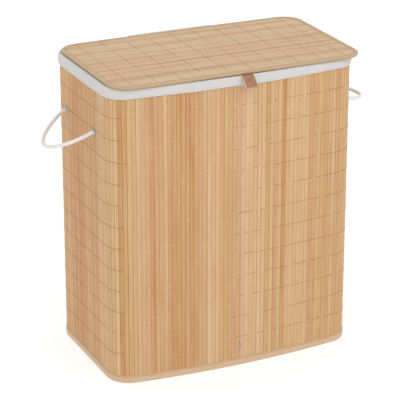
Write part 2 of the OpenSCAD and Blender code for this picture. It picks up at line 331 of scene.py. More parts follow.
def spline(points, step):
    """A smooth line through the points, as points about one step apart."""
    p = np.asarray(points, float)
    p = np.concatenate([[2 * p[0] - p[1]], p, [2 * p[-1] - p[-2]]])
    found = []
    for a, b, c, d in zip(p, p[1:], p[2:], p[3:]):
        s = np.linspace(0, 1, 24, endpoint=False)[:, None]
        found.append(0.5 * (2 * b + (c - a) * s + (2 * a - 5 * b + 4 * c - d) * s ** 2
                            + (3 * b - a - 3 * c + d) * s ** 3))
    line = np.concatenate(found + [p[-2:-1]])
    length = lengths(line)
    places = np.linspace(0, length[-1], max(2, round(length[-1] / step) + 1))
    return np.stack([np.interp(places, length, line[:, k]) for k in range(3)], axis=-1)


def carried_frames(path):
    """Two directions across the path at each of its points, carried along it without a twist."""
    tangents = np.gradient(path, axis=0)
    tangents /= np.linalg.norm(tangents, axis=1)[:, None]
    side = np.cross(tangents[0], (0.0, 0.0, 1.0))
    if np.linalg.norm(side) < 0.1:
        side = np.cross(tangents[0], (0.0, 1.0, 0.0))
    sides = []
    for tangent in tangents:
        side = side - tangent * (side @ tangent)
        side = side / np.linalg.norm(side)
        sides.append(side)
    sides = np.array(sides)
    return sides, np.cross(tangents, sides)


def stitches(shape, place, out, length, stitch, gap, thickness):
    """Adds a row of stitches. place and out give a point and its outward direction at a length."""
    count = max(1, int(length / (stitch + gap)))
    pitch = length / count
    around = np.linspace(0, 2 * math.pi, 7)[:6]
    along = np.linspace(-0.5, 0.5, 5)
    height = np.array([0.0, 0.8, 1.0, 0.8, 0.0])
    lift = (height * thickness * 0.4 - thickness * 0.3)[:, None]
    radius = (0.35 + 0.65 * height)[:, None, None] * thickness / 2
    for k in range(count):
        t = (k + 0.5) * pitch + along * (pitch - gap)
        p = np.array([place(x) for x in t])
        n = np.array([out(x) for x in t])
        way = np.gradient(p, axis=0)
        across = np.cross(way / np.linalg.norm(way, axis=1)[:, None], n)
        flat = np.stack(np.meshgrid(t, np.linspace(0, thickness * 3, 7), indexing="ij"), axis=-1)
        shape.surface(tube(p + n * lift, n, across, radius, around), flat, capped=True, seed=k * 0.37)


def seam(name, thread, slot, body, rows, length, stitch, gap, thickness):
    """A piece of stitching. Each row is two functions of a length: a stitch's place and which way is out."""
    shape = Shape()
    for place, out in rows:
        stitches(shape, place, out, length, stitch, gap, thickness)
    return make_piece(shape, name, thread, body)


def wall_out(s):
    """The outward direction of the wall at a length, for a stitch."""
    return np.append(wall.out(np.array(s)), 0.0)


def upwards(s):
    return np.array((0.0, 0.0, 1.0))


def downwards(s):
    return np.array((0.0, 0.0, -1.0))


def smooth_noise(x, seed, octaves=3):
    """Noise of about -1 to 1 along x, one wave for each unit, the same on every run."""
    rng = np.random.default_rng(seed)
    total = np.zeros_like(np.asarray(x, float))
    for octave in range(octaves):
        phase, rate = rng.uniform(0, 2 * math.pi, 3), 2.0 ** octave * rng.uniform(0.8, 1.25, 3)
        total += sum(np.sin(2 * math.pi * r * x + p) for p, r in zip(phase, rate)) / 3 / 1.7 ** octave
    return total / 1.2


# ---- material tools

def rgb(red, green, blue):
    """A colour given as 0 to 255 on a screen, as Blender's linear colour."""
    return tuple((c / 255 / 12.92 if c / 255 <= 0.04045 else ((c / 255 + 0.055) / 1.055) ** 2.4)
                 for c in (red, green, blue)) + (1.0,)


class Material:
    """A node material with one principled shader. Its methods add nodes and return their outputs."""

    def __init__(self, name, **constants):
        self.made = bpy.data.materials.new(name)
        self.made.use_nodes = True
        self.tree = self.made.node_tree
        self.shader = self.tree.nodes["Principled BSDF"]
        self.put(self.shader, constants)

    def put(self, node, values):
        for key, value in values.items():
            socket = node.inputs[key.replace("_", " ") if isinstance(key, str) else key]
            if isinstance(value, bpy.types.NodeSocket):
                self.tree.links.new(value, socket)
            else:
                socket.default_value = value

    def node(self, kind, settings=None, **values):
        made = self.tree.nodes.new("ShaderNode" + kind)
        for key, value in (settings or {}).items():
            setattr(made, key, value)
        self.put(made, values)
        return made

    def set(self, **values):
        self.put(self.shader, values)
        return self.made

    def math(self, operation, a, b=0.0):
        made = self.node("Math", {"operation": operation})
        self.put(made, {0: a, 1: b})
        return made.outputs[0]

    def times(self, a, b):
        return self.math("MULTIPLY", a, b)

    def plus(self, a, b):
        return self.math("ADD", a, b)

    def minus(self, a, b):
        return self.math("SUBTRACT", a, b)

    def absolute(self, a):
        return self.math("ABSOLUTE", a)

    def sine(self, a):
        return self.math("SINE", a)

    def clamp01(self, value):
        return self.node("Clamp", Value=value).outputs[0]

    def attribute(self, name):
        return self.node("Attribute", {"attribute_name": name}).outputs["Fac"]

    def flat(self):
        """The place on the flat material, in metres, split into its two numbers."""
        split = self.node("SeparateXYZ", Vector=self.node("UVMap", {"uv_map": "flat"}).outputs["UV"])
        return split.outputs[0], split.outputs[1]

    def solid(self):
        """The place in the part's own frame, in metres, split into three numbers."""
        split = self.node("SeparateXYZ", Vector=self.node("TexCoord").outputs["Object"])
        return split.outputs[0], split.outputs[1], split.outputs[2]

    def vector(self, x, y, z=0.0):
        return self.node("CombineXYZ", X=x, Y=y, Z=z).outputs[0]

    def scaled(self, x, y, z, sx, sy, sz):
        return self.vector(self.times(x, sx), self.times(y, sy),
                           self.times(z, sz))

    def noise(self, place, scale=1.0, detail=2.0, roughness=0.5):
        return self.node("TexNoise", Vector=place, Scale=scale, Detail=detail,
                         Roughness=roughness).outputs["Fac"]

    def ramp(self, value, stops):
        """A colour for a value. stops are (place, colour)."""
        made = self.node("ValToRGB", Fac=value)
        elements = made.color_ramp.elements
        while len(elements) < len(stops):
            elements.new(0.5)
        for element, (place, colour) in zip(elements, stops):
            element.position = place
            element.color = colour
        return made.outputs[0]

    def mix(self, share, a, b, blend="MIX"):
        made = self.node("Mix", {"data_type": "RGBA", "blend_type": blend})
        self.put(made, {0: share, 6: a, 7: b})
        return made.outputs[2]

    def range(self, value, low, high, to_low=0.0, to_high=1.0):
        made = self.node("MapRange")
        self.put(made, {0: value, 1: low, 2: high, 3: to_low, 4: to_high})
        return made.outputs[0]

    def bump(self, height, distance, strength=1.0):
        made = self.node("Bump", Height=height, Distance=distance, Strength=strength)
        return made.outputs[0]

    def weave(self, u, v, pitch):
        """Height from 0 to 1 of a plain weave whose threads are one pitch apart."""
        across = self.times(u, math.pi / pitch)
        along = self.times(v, math.pi / pitch)
        over = self.times(self.sine(across), self.sine(along))
        warp = self.absolute(self.sine(across))
        weft = self.absolute(self.sine(along))
        pick = self.math("GREATER_THAN", over, 0.0)
        return self.plus(self.times(warp, pick),
                         self.times(weft, self.minus(1.0, pick)))


# ---- materials

def bamboo(name, tones, speck, hue_share):
    """Bamboo slats. Each slat has a tone, a seed, fibres along it, and marks at its joints."""
    m = Material(name, Specular_IOR_Level=0.35)
    across, along = m.flat()
    seed = m.times(m.attribute("seed"), 61.0)
    streaks = m.noise(m.scaled(across, along, seed, 420, 2.2, 1.0), detail=2.0, roughness=0.55)
    fibres = m.noise(m.scaled(across, along, seed, 1900, 7.0, 1.0), detail=3.0, roughness=0.6)
    drift = m.noise(m.scaled(across, along, seed, 60, 7.0, 1.0), detail=3.0, roughness=0.6)
    tone = m.attribute("tone")
    for part, weight in ((streaks, 0.95), (fibres, 0.60), (drift, 0.60)):
        tone = m.plus(tone, m.times(m.minus(part, 0.5), weight))
    colour = m.ramp(m.clamp01(tone), tones)
    hue = m.ramp(m.attribute("seed"), [(0.0, (0.98, 1.01, 0.92, 1.0)), (0.5, (1.0, 1.0, 1.0, 1.0)),
                                       (0.8, (1.0, 0.98, 1.06, 1.0)), (1.0, (1.01, 0.97, 1.16, 1.0))])
    colour = m.mix(hue_share, colour, hue, "MULTIPLY")
    edge = m.range(m.absolute(across), 0.0036, 0.0044)
    colour = m.mix(m.times(edge, 0.14), colour, rgb(150, 104, 62))
    flecks = m.noise(m.scaled(across, along, seed, 700, 60, 1.0), detail=2.0, roughness=0.7)
    colour = m.mix(m.range(flecks, 0.70, 0.80, 0.0, 0.30), colour, speck)
    mark = m.attribute("mark")
    pale = m.math("GREATER_THAN", m.attribute("seed"), 0.5)
    joint = m.mix(pale, rgb(168, 124, 80), rgb(228, 200, 164))
    colour = m.mix(m.times(mark, 0.35), colour, joint)
    height = m.plus(m.times(fibres, 0.6), m.times(streaks, 0.4))
    rough = m.range(fibres, 0.2, 0.8, 0.42, 0.62)
    return m.set(Base_Color=colour, Roughness=rough, Normal=m.bump(height, 0.00025, 0.55))


def woven(name, colour, darker, pitch, ribs=0.0, sheen=0.15):
    """Woven cloth or tape. ribs adds cords across it, and it is darkened as painted shade where its mark is
    1.
    """
    m = Material(name, Roughness=0.88, Specular_IOR_Level=0.2, Sheen_Weight=sheen, Sheen_Roughness=0.5)
    u, v = m.flat()
    threads = m.weave(u, v, pitch)
    slub = m.noise(m.scaled(u, v, 0.0, 260, 1500, 1.0), detail=2.0, roughness=0.6)
    soil = m.noise(m.scaled(u, v, 0.0, 22, 22, 1.0), detail=3.0)
    shade = m.plus(m.times(threads, 0.45), m.times(slub, 0.55))
    shade = m.plus(shade, m.times(m.minus(soil, 0.5), 0.5))
    height = threads
    if ribs:
        cords = m.absolute(m.sine(m.times(u, math.pi / ribs)))
        shade = m.plus(m.times(shade, 0.7), m.times(cords, 0.3))
        height = m.plus(m.times(threads, 0.4), m.times(cords, 0.6))
    mixed = m.mix(m.clamp01(shade), darker, colour)
    # painted shade: darker where the mark is 1, on the lower outer side of the lid's tape
    mixed = m.mix(m.times(m.attribute("mark"), 0.3), mixed, rgb(128, 108, 82))
    return m.set(Base_Color=mixed, Normal=m.bump(height, 0.0002, 0.6))


def thread_material(name, colour, darker, painted_light_colour):
    """Twisted sewing or weaving thread. Where its tone is 1 it takes a paler colour, as painted light."""
    m = Material(name, Roughness=0.75, Specular_IOR_Level=0.25)
    u, v = m.flat()
    turn = m.plus(m.times(u, 5200.0), m.times(v, 4200.0))
    ply = m.plus(m.times(m.sine(turn), 0.5), 0.5)
    fade = m.noise(m.scaled(u, v, m.attribute("seed"), 40, 40, 5.0), detail=2.0)
    shade = m.plus(m.times(ply, 0.5), m.times(fade, 0.6))
    thread_colour = m.mix(m.clamp01(shade), darker, colour)
    # painted light: a paler colour where the tone is over 0.5
    mixed = m.mix(m.range(m.attribute("tone"), 0.5, 1.0), thread_colour, painted_light_colour)
    return m.set(Base_Color=mixed, Normal=m.bump(ply, 0.0001, 0.6))


def rope_material():
    """Off-white cotton cord: the braid is in the mesh, and its mark is 1 on the strands' crowns; the grooves
    between them are painted darker as painted shade.
    """
    m = Material("cotton_rope", Roughness=0.85, Specular_IOR_Level=0.2, Sheen_Weight=0.25)
    u, v = m.flat()
    fibre = m.noise(m.scaled(u, v, 0.0, 900, 2600, 1.0), detail=3.0, roughness=0.65)
    soil = m.noise(m.scaled(u, v, 0.0, 25, 60, 1.0), detail=2.0)
    # painted shade: darker between the strands, lighter on their crowns
    painted_groove_shade = m.mix(m.attribute("mark"), rgb(200, 195, 191), rgb(234, 230, 227))
    worn = m.mix(m.times(fibre, 0.35), painted_groove_shade, rgb(222, 217, 212))
    colour = m.mix(m.range(soil, 0.55, 0.8, 0.0, 0.25), worn, rgb(206, 198, 188))
    return m.set(Base_Color=colour, Normal=m.bump(fibre, 0.00012, 0.5))


def leather():
    """Tan leather with a fine grain, and a paler cut edge where its mark is 1."""
    m = Material("tan_leather", Specular_IOR_Level=0.4)
    u, v = m.flat()
    place = m.vector(u, v)
    cells = m.node("TexVoronoi", {"feature": "DISTANCE_TO_EDGE"}, Vector=place, Scale=1100.0)
    pebbles = m.range(cells.outputs["Distance"], 0.0, 0.22)
    cloud = m.noise(place, 90.0, 4.0, 0.6)
    fine = m.noise(place, 1600.0, 2.0, 0.6)
    face = m.ramp(cloud, [(0.3, rgb(150, 104, 76)), (0.7, rgb(178, 132, 102))])
    face = m.mix(m.times(m.minus(1.0, pebbles), 0.35), face, rgb(108, 70, 48))
    cut = m.ramp(fine, [(0.3, rgb(202, 172, 136)), (0.7, rgb(228, 204, 168))])
    colour = m.mix(m.attribute("mark"), face, cut)
    height = m.plus(m.times(pebbles, 0.8), m.times(fine, 0.2))
    return m.set(Base_Color=colour, Roughness=m.range(cloud, 0.3, 0.7, 0.48, 0.66),
                 Normal=m.bump(height, 0.00012, 0.5))


def plated_steel(name, light, dark, rough):
    """Plated steel with fine scratches and dull patches."""
    m = Material(name, Metallic=1.0)
    x, y, z = m.solid()
    scratches = m.noise(m.scaled(x, y, z, 3000, 3000, 260), detail=2.0, roughness=0.7)
    patches = m.noise(m.scaled(x, y, z, 260, 260, 260), detail=3.0)
    colour = m.ramp(patches, [(0.3, dark), (0.7, light)])
    roughness = m.plus(m.range(patches, 0.3, 0.7, rough, rough + 0.18),
                       m.times(scratches, 0.1))
    return m.set(Base_Color=colour, Roughness=roughness, Normal=m.bump(scratches, 0.00003, 0.4))


def fibreboard():
    """Pressed wood fibre, speckled with darker and paler chips."""
    m = Material("fibreboard", Roughness=0.8, Specular_IOR_Level=0.25)
    x, y, z = m.solid()
    chips = m.noise(m.scaled(x, y, z, 900, 420, 900), detail=4.0, roughness=0.7)
    cloud = m.noise(m.scaled(x, y, z, 40, 40, 40), detail=3.0)
    colour = m.ramp(chips, [(0.3, rgb(120, 84, 54)), (0.5, rgb(168, 126, 86)), (0.72, rgb(204, 170, 128))])
    colour = m.mix(m.times(cloud, 0.3), colour, rgb(146, 106, 70))
    return m.set(Base_Color=colour, Normal=m.bump(chips, 0.0002, 0.5))


WALL_TONES = [(0.00, rgb(184, 126, 76)), (0.25, rgb(194, 147, 98)), (0.50, rgb(199, 160, 114)),
              (0.75, rgb(205, 171, 127)), (1.00, rgb(212, 182, 143))]
LID_TONES = [(0.00, rgb(180, 140, 100)), (0.35, rgb(196, 162, 124)), (0.65, rgb(203, 173, 138)),
             (1.00, rgb(212, 188, 156))]

wall_bamboo = bamboo("bamboo_wall", WALL_TONES, rgb(132, 86, 48), 1.0)
lid_bamboo = bamboo("bamboo_lid", LID_TONES, rgb(150, 108, 70), 0.4)
# the third colour of each thread is its painted light colour
brown_thread = thread_material("brown_thread", rgb(172, 128, 88), rgb(126, 86, 54), rgb(222, 192, 154))
dark_seam_thread = thread_material("dark_seam_thread", rgb(178, 146, 108), rgb(134, 104, 72),
                                   rgb(206, 180, 150))
seam_thread = thread_material("seam_thread", rgb(196, 166, 132), rgb(150, 120, 90), rgb(206, 180, 150))
white_thread = thread_material("white_thread", rgb(222, 219, 214), rgb(196, 192, 186), rgb(222, 219, 214))
edge_tape = woven("edge_tape", rgb(216, 186, 154), rgb(188, 156, 124), 0.0006, ribs=0.0012)
lid_tape = woven("lid_tape", rgb(202, 175, 139), rgb(172, 145, 110), 0.0006, ribs=0.0012)
cotton = woven("white_cotton", rgb(214, 211, 209), rgb(200, 197, 194), 0.0005, sheen=0.1)
backing = woven("backing_cloth", rgb(176, 140, 102), rgb(140, 108, 76), 0.0008)
base_cloth = woven("base_cloth", rgb(190, 168, 138), rgb(150, 126, 98), 0.0009)
tape_cloth = woven("tape_cloth", rgb(206, 184, 152), rgb(160, 134, 102), 0.0009)
rope = rope_material()
tan_leather = leather()
nickel = plated_steel("nickel", rgb(176, 174, 170), rgb(120, 118, 116), 0.30)
zinc = plated_steel("zinc", rgb(190, 192, 194), rgb(140, 142, 146), 0.38)
board = fibreboard()


# ---- camera

def direction(azimuth, elevation):
    """The direction towards a place at an azimuth, from the front counter-clockwise, and an elevation."""
    a, e = math.radians(azimuth), math.radians(elevation)
    return Vector((math.sin(a) * math.cos(e), -math.cos(a) * math.cos(e), math.sin(e)))


def make_camera():
    data = bpy.data.cameras.new("camera")
    data.sensor_width = 36
    data.lens = CAMERA_LENS
    data.shift_y = CAMERA_SHIFT_Y
    data.clip_end = 100
    camera = bpy.data.objects.new("camera", data)
    scene.collection.objects.link(camera)
    back = direction(CAMERA_AZIMUTH, CAMERA_ELEVATION)
    camera.location = Vector((0, 0, CAMERA_AIM_Z)) + back * CAMERA_DISTANCE
    camera.rotation_euler = (math.pi / 2 - math.radians(CAMERA_PITCH), 0, math.radians(CAMERA_YAW))
    scene.camera = camera


make_camera()


# ---- rope handles

def braided_tube(shape, path, radius, sides=64):
    """Adds a braided cord round the path. Its strands cross in diamonds, one turn in each lay."""
    side, up = carried_frames(path)
    around = np.linspace(0, 2 * math.pi, sides + 1)
    length = lengths(path)
    twist = 2 * math.pi * length[:, None] / BRAID_LAY / STRANDS * 4
    right = np.abs(np.sin(STRANDS / 4 * (around[None] + twist)))
    left = np.abs(np.sin(STRANDS / 4 * (around[None] - twist)))
    crown = np.maximum(right, left) ** 0.7
    r = (radius * (0.91 + 0.09 * crown))[:, :-1, None]
    rings = tube(path, side, up, r, around[:-1])
    shape.surface(rings, grid(around[None] * radius, length[:, None]), capped=True,
                  mark=np.clip((crown - 0.45) / 0.5, 0, 1))


def handle_joint(name):
    return next(j for j in frame["joints"] if j["name"] == name)


def rope_handle(side, joint, droop):
    """A rope loop from one eyelet to the other, with its two ends inside their eyelets."""
    pivot = Vector(handle_joint(joint)["pos_m"])
    wall_x = side * SIDE_X
    droop = math.radians(droop)
    half = [(pivot.x + side * out * math.cos(droop), along, pivot.z - out * math.sin(droop))
            for along, out in HALF_ROUTE]
    ends = [(wall_x + side * past, HALF_ROUTE[0][0], pivot.z) for past in (-0.003, 0.002)]
    loop = ends + half
    loop = loop + [(x, -y, z) for x, y, z in reversed(loop)]
    path = spline([(x, y + pivot.y, z) for x, y, z in loop], 0.00045)
    shape = Shape()
    braided_tube(shape, path, ROPE_D / 2)
    name = "left" if side < 0 else "right"
    piece = make_piece(shape, name + "_rope", rope, nodes=[name + "_rope_handle"])
    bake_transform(piece)


rope_handle(-1, "left_handle_swing", LEFT_DROOP)
rope_handle(1, "right_handle_swing", RIGHT_DROOP)


def rope_knots(side, joint):
    """The rope's two ends: through the eyelet, then an overhand knot against the washer."""
    pivot = Vector(handle_joint(joint)["pos_m"])
    wall_x = side * SIDE_X
    shape = Shape()
    for end in (-1, 1):
        y = pivot.y + end * HALF_ROUTE[0][0]
        q = np.linspace(0, 2 * math.pi, 120)[:-1]
        knot = np.stack([-side * (0.0105 + 0.0014 * np.sin(3 * q)),
                         0.0022 * (np.sin(q) + 2 * np.sin(2 * q)),
                         0.0022 * (np.cos(q) - 2 * np.cos(2 * q))], axis=-1)
        braided_tube(shape, knot + np.array([wall_x, y, pivot.z]), ROPE_D / 2 * 0.9, sides=32)
        stub = [(wall_x - side * inside, y, pivot.z) for inside in (0.0100, 0.006, 0.0015)]
        braided_tube(shape, spline(stub, 0.0008), ROPE_D / 2 * 0.98, sides=32)
    name = "left" if side < 0 else "right"
    make_piece(shape, name + "_knots", rope, "basket", [name + "_rope_knots"])


rope_knots(-1, "left_handle_swing")
rope_knots(1, "right_handle_swing")


# ---- bamboo wall

SLAT_PITCH = wall.length / SLATS
HALF_WAY = SLATS // 2
# the slats that stand out, by their number from the front's middle: 0 is the darkest tone, 1 the palest
OWN_TONES = {-29: 0.72, -28: 0.20, -27: 0.34, -24: 0.66, -21: 0.20, -18: 0.64, -17: 0.32, -6: 0.66,
             5: 0.66, 6: 0.32, 10: 0.20, 12: 0.66, 17: 0.34, 24: 0.32, 34: 0.26}
# painted light and shade round the wall, at slats counted from the front's middle: darker on the left side
# and at the front's right end, lighter at the front-left corner
PAINTED_LIGHT_AND_SHADE_AT = [-88, -60, -40, -34, -29, -24, -12, -4, 16, 27, 40, 88]
PAINTED_LIGHT_AND_SHADE = [-0.05, -0.28, -0.20, 0.10, 0.08, -0.10, -0.10, 0.06, 0.06, -0.16, -0.06, -0.05]
CROWN = 0.00012
EDGE_R = 0.0003
# the joints of the cane: how far apart they are, and how far they rise
WALL_JOINTS = 0.34
LID_JOINTS = 0.26
JOINT_RISE = 0.00012


def slat_section(width, thickness):
    """Points round a slat's section: across it from its middle, and out from its back."""
    half = width / 2
    front = [(-half, thickness - EDGE_R), (-half + EDGE_R * 0.3, thickness - EDGE_R * 0.3),
             (-half + EDGE_R, thickness), (-half / 2, thickness + CROWN * 0.75)]
    mirrored = [(-u, v) for u, v in reversed(front)]
    return np.array([(-half, 0.0)] + front + [(0.0, thickness + CROWN)] + mirrored + [(half, 0.0)])


def joint_rows(low, high, rng, spacing):
    """Places along a slat: an even set, and five round each bamboo joint, with how far each is on one."""
    first = low + rng.uniform(0.02, spacing)
    joints = np.arange(first, high - 0.01, spacing * rng.uniform(0.85, 1.15))
    bumps = [(0.0, 0.0), (0.0012, 0.5), (0.002, 1.0), (0.0028, 0.5), (0.004, 0.0)]
    rows = [(z, 0.0) for z in np.linspace(low, high, 22)]
    for joint in joints:
        rows = [row for row in rows if not joint - 0.002 < row[0] < joint + 0.006 or row[0] in (low, high)]
        rows += [(joint + dz, bump) for dz, bump in bumps]
    rows = np.array(sorted(rows))
    return rows[:, 0], rows[:, 1]


def slat_tone(number, rng):
    """A slat's tone, from dark orange at 0 to pale at 1. Slats cut from one cane lie together."""
    near = 0.5 + 0.07 * math.sin(number * 0.55) + 0.06 * math.sin(number * 0.23 + 1.0)
    # painted light and shade round the wall is added to each slat's random tone
    tone = near + rng.uniform(-0.12, 0.12) + np.interp(number, PAINTED_LIGHT_AND_SHADE_AT, PAINTED_LIGHT_AND_SHADE)
    return OWN_TONES.get(number, tone)


def add_slat(shape, section, points, places, bump, **values):
    """Adds one slat to a shape. places are lengths along it, and bump says how far each is on a joint."""
    around = np.append(section[:, 0], section[0, 0])[None]
    shape.surface(points, grid(around, places[:, None]), capped=True,
                  mark=np.repeat(bump[:, None], len(section) + 1, axis=1), **values)


def joint_lift(section, thickness, bump):
    """How far each point of a slat's face is raised at its joints."""
    return np.where(section[:, 1] > thickness * 0.7, 1.0, 0.0) * bump[:, None] * JOINT_RISE


def wall_slats(name, nodes, first, last):
    """A run of upright slats, each flat, slightly crowned, and a little different from the next."""
    shape = Shape()
    for number in range(first, last):
        rng = random.Random(SLAT_SEED + number)
        ends = wall.at(np.array([number, number + 1]) * SLAT_PITCH, -SLAT_T)
        along = (ends[1] - ends[0]) / np.linalg.norm(ends[1] - ends[0])
        out = np.array([along[1], -along[0]])
        middle = (ends[0] + ends[1]) / 2 + along * rng.uniform(-0.00005, 0.00005)
        width = np.linalg.norm(ends[1] - ends[0]) - SLAT_GAP * rng.uniform(0.1, 0.95)
        section = slat_section(width, SLAT_T - rng.uniform(0.0, 0.00012))
        z, bump = joint_rows(MAT_Z0, MAT_Z1, rng, WALL_JOINTS)
        u = np.broadcast_to(section[:, 0], (len(z), len(section)))
        v = section[:, 1] + joint_lift(section, SLAT_T, bump)
        flat_xy = middle + u[..., None] * along + v[..., None] * out
        points = np.concatenate([flat_xy, np.broadcast_to(z[:, None, None], v.shape + (1,))], axis=-1)
        tone = slat_tone((number + HALF_WAY) % SLATS - HALF_WAY, rng)
        add_slat(shape, section, points, z, bump, tone=tone, seed=rng.random())
    return make_piece(shape, name, wall_bamboo, "basket", nodes, SLAT_SHARP)


HOLE_SIDES = 32


def drill(piece, holes):
    """Cuts round holes through a piece. Each hole is (middle, direction, radius)."""
    cutters = Shape()
    for middle, direction, radius in holes:
        path = np.array([Vector(middle) + Vector(direction) * d for d in (-0.01, 0.0, 0.01)])
        side, up = carried_frames(path)
        q = np.linspace(0, 2 * math.pi, HOLE_SIDES + 1)[:-1]
        cutters.surface(tube(path, side, up, radius, q), np.zeros((3, HOLE_SIDES + 1, 2)), capped=True)
    cutter = cutters.build("cutter", wall_bamboo, SLAT_SHARP)
    cut = piece.modifiers.new("holes", "BOOLEAN")
    cut.operation = "DIFFERENCE"
    cut.solver = "EXACT"
    cut.object = cutter
    apply_modifiers(piece)
    bpy.data.objects.remove(cutter)


EYELET_BARREL = 0.0053
RIVET_SHANK = 0.0022


def eyelet_holes(side, joint):
    """The two holes of a handle's eyelets, as drill takes them."""
    pivot = Vector(handle_joint(joint)["pos_m"])
    places = [(side * SIDE_X, pivot.y + end * HALF_ROUTE[0][0], pivot.z) for end in (-1, 1)]
    return [(place, (1, 0, 0), EYELET_BARREL) for place in places]


left_holes = eyelet_holes(-1, "left_handle_swing")
right_holes = eyelet_holes(1, "right_handle_swing")
rivet_low, rivet_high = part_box("brace_rivets")
rivet_z = (rivet_low.z + rivet_high.z) / 2
front_y = wall.at(np.array(0.0))[1]
front_hole, back_hole = [[((0, y, rivet_z), (0, 1, 0), RIVET_SHANK)] for y in (front_y, -front_y)]

front = wall_slats("front_bamboo", ["front_slats"], -CORNER_SLAT, CORNER_SLAT)
right = wall_slats("right_bamboo", ["right_slats"], CORNER_SLAT, HALF_WAY - CORNER_SLAT)
back = wall_slats("back_bamboo", ["back_slats"], HALF_WAY - CORNER_SLAT, HALF_WAY + CORNER_SLAT)
left = wall_slats("left_bamboo", ["left_slats"], HALF_WAY + CORNER_SLAT, SLATS - CORNER_SLAT)
for piece, holes in ((front, front_hole), (back, back_hole), (left, left_holes), (right, right_holes)):
    drill(piece, holes)


# ---- weaving threads

THREAD_W = 0.00065
THREAD_T = 0.00045
THREAD_END_DEPTH = 0.0011
LID_THREAD_DIP = 0.0008
LID_THREAD_SHOWS = 0.90
FLANGE_R = 0.0085


def thread_shows(number):
    """How often the thread lies over a slat. It mostly runs behind the slats left of the front's middle."""
    if painted_light_here(number):
        return 0.30
    if -2 <= number < 8:
        return 0.55
    if 8 <= number < CORNER_SLAT:
        return 0.85
    return 0.95


def painted_light_here(number):
    """Left of the front's middle the thread is painted paler, close to the slats' own colour, as painted
    light.
    """
    return -CORNER_SLAT + 1 <= number < -2


def add_thread(shape, path, out, side, run, **values):
    """Adds a thread round a path. out is away from the slats, side is across it, and run is its length."""
    q = np.linspace(0, 2 * math.pi, 8)
    ring = (np.cos(q[:-1])[None, :, None] * out[:, None] * THREAD_T / 2
            + np.sin(q[:-1])[None, :, None] * side * THREAD_W / 2)
    flat = grid(run[:, None], (q * THREAD_W / 2)[None])
    shape.surface(path[:, None] + ring, flat, capped=True, **values)


def evened(values):
    """Each value as the mean of the five round it."""
    return np.convolve(np.pad(values, 2, mode="edge"), np.ones(5) / 5, mode="valid")


def thread_run(shape, first, last, z, rng):
    """A stretch of thread over slats first to last - 1. It dips at gaps and enters the wall at its ends."""
    t, lift, drop = [(first - 0.02) * SLAT_PITCH], [-THREAD_END_DEPTH], [0.0]
    for number in range(first, last):
        level = rng.uniform(-0.0004, 0.0004)
        for share, height in ((0.05, 0.00005), (0.2, 0.0002), (0.5, 0.00028), (0.8, 0.0002), (0.95, 0.00005)):
            t.append((number + share) * SLAT_PITCH)
            lift.append(height)
            drop.append(level)
    t.append((last + 0.02) * SLAT_PITCH)
    lift.append(-THREAD_END_DEPTH)
    drop.append(drop[-1])
    t = np.array(t)
    path = wall.ring(t, np.array(lift), z + evened(drop))
    out = np.column_stack([wall.out(t), np.zeros(len(t))])
    # painted light: thread left of the front's middle gets a pale tone
    tone = rng.uniform(0.85, 1.0) if painted_light_here(first) else 0.5
    add_thread(shape, path, out, np.array((0.0, 0.0, 1.0)), t, tone=tone, seed=rng.random())


def near_eyelet(number, z):
    x, y = wall.at(np.array((number + 0.5) * SLAT_PITCH))
    clear = FLANGE_R + SLAT_PITCH / 2
    return any(math.dist((x, y, z), place) < clear for place, _, _ in left_holes + right_holes)


def wall_threads():
    shape = Shape()
    low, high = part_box("wall_threads")
    rows = round((high.z - low.z) / THREAD_PITCH) + 1
    for row in range(rows):
        rng = random.Random(THREAD_SEED + row)
        z = THREAD_FIRST_Z + row * THREAD_PITCH
        number = -HALF_WAY
        while number < HALF_WAY:
            start = number
            while number < HALF_WAY and not near_eyelet(number, z) and rng.random() < thread_shows(number):
                number += 1
            if number > start:
                thread_run(shape, start, number, z, rng)
            number += 1
    make_piece(shape, "wall_thread_rows", brown_thread, "basket", ["wall_threads"])


wall_threads()


# ---- cloth behind the slats

CLOTH_STEP = 0.0033
CLOTH_UNEVEN = 0.00004
TAPE_CLOTH_T = 0.0005
seam_low, seam_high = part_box("back_seam_tape")
MAT_SEAM = 2 * wall.quarter - (seam_low.x + seam_high.x) / 2


def wall_sheet(name, node, finish, line, thickness, first, last):
    """Cloth that follows the wall's outline from length first to last. line is its middle: (out, height).
    """
    t = np.linspace(first, last, round((last - first) / CLOTH_STEP) + 1)
    rows = []
    for out, z in line:
        uneven = CLOTH_UNEVEN * np.sin(2 * math.pi * 9 * (t - first) / wall.length + z / 0.07)
        rows.append(wall.ring(t, out + uneven, z))
    shape = Shape()
    shape.surface(np.stack(rows), grid(t[None], lengths(line)[:, None]), closed=False)
    piece = make_piece(shape, name, finish, "basket", [node], TAPE_SHARP, welded=True,
                       thickness=thickness)
    return piece


def cloth_backing():
    middle = -SLAT_T - BACKING_T / 2
    line = [(middle, z) for z in np.linspace(MAT_Z0, MAT_Z1, 36)]
    piece = wall_sheet("cloth_backing", "wall_backing", backing, line, BACKING_T * 0.9,
                       MAT_SEAM, MAT_SEAM + wall.length)
    drill(piece, front_hole + back_hole)
    drill(piece, left_holes + right_holes)


def closing_tape():
    """The tape inside the back that joins the mat's two ends."""
    middle = -SLAT_T - BACKING_T - 0.0003
    line = [(middle, z) for z in np.linspace(seam_low.z, seam_high.z, 30)]
    half = (seam_high.x - seam_low.x) / 2
    wall_sheet("closing_tape", "back_seam_tape", tape_cloth, line, TAPE_CLOTH_T,
               MAT_SEAM - half, MAT_SEAM + half)


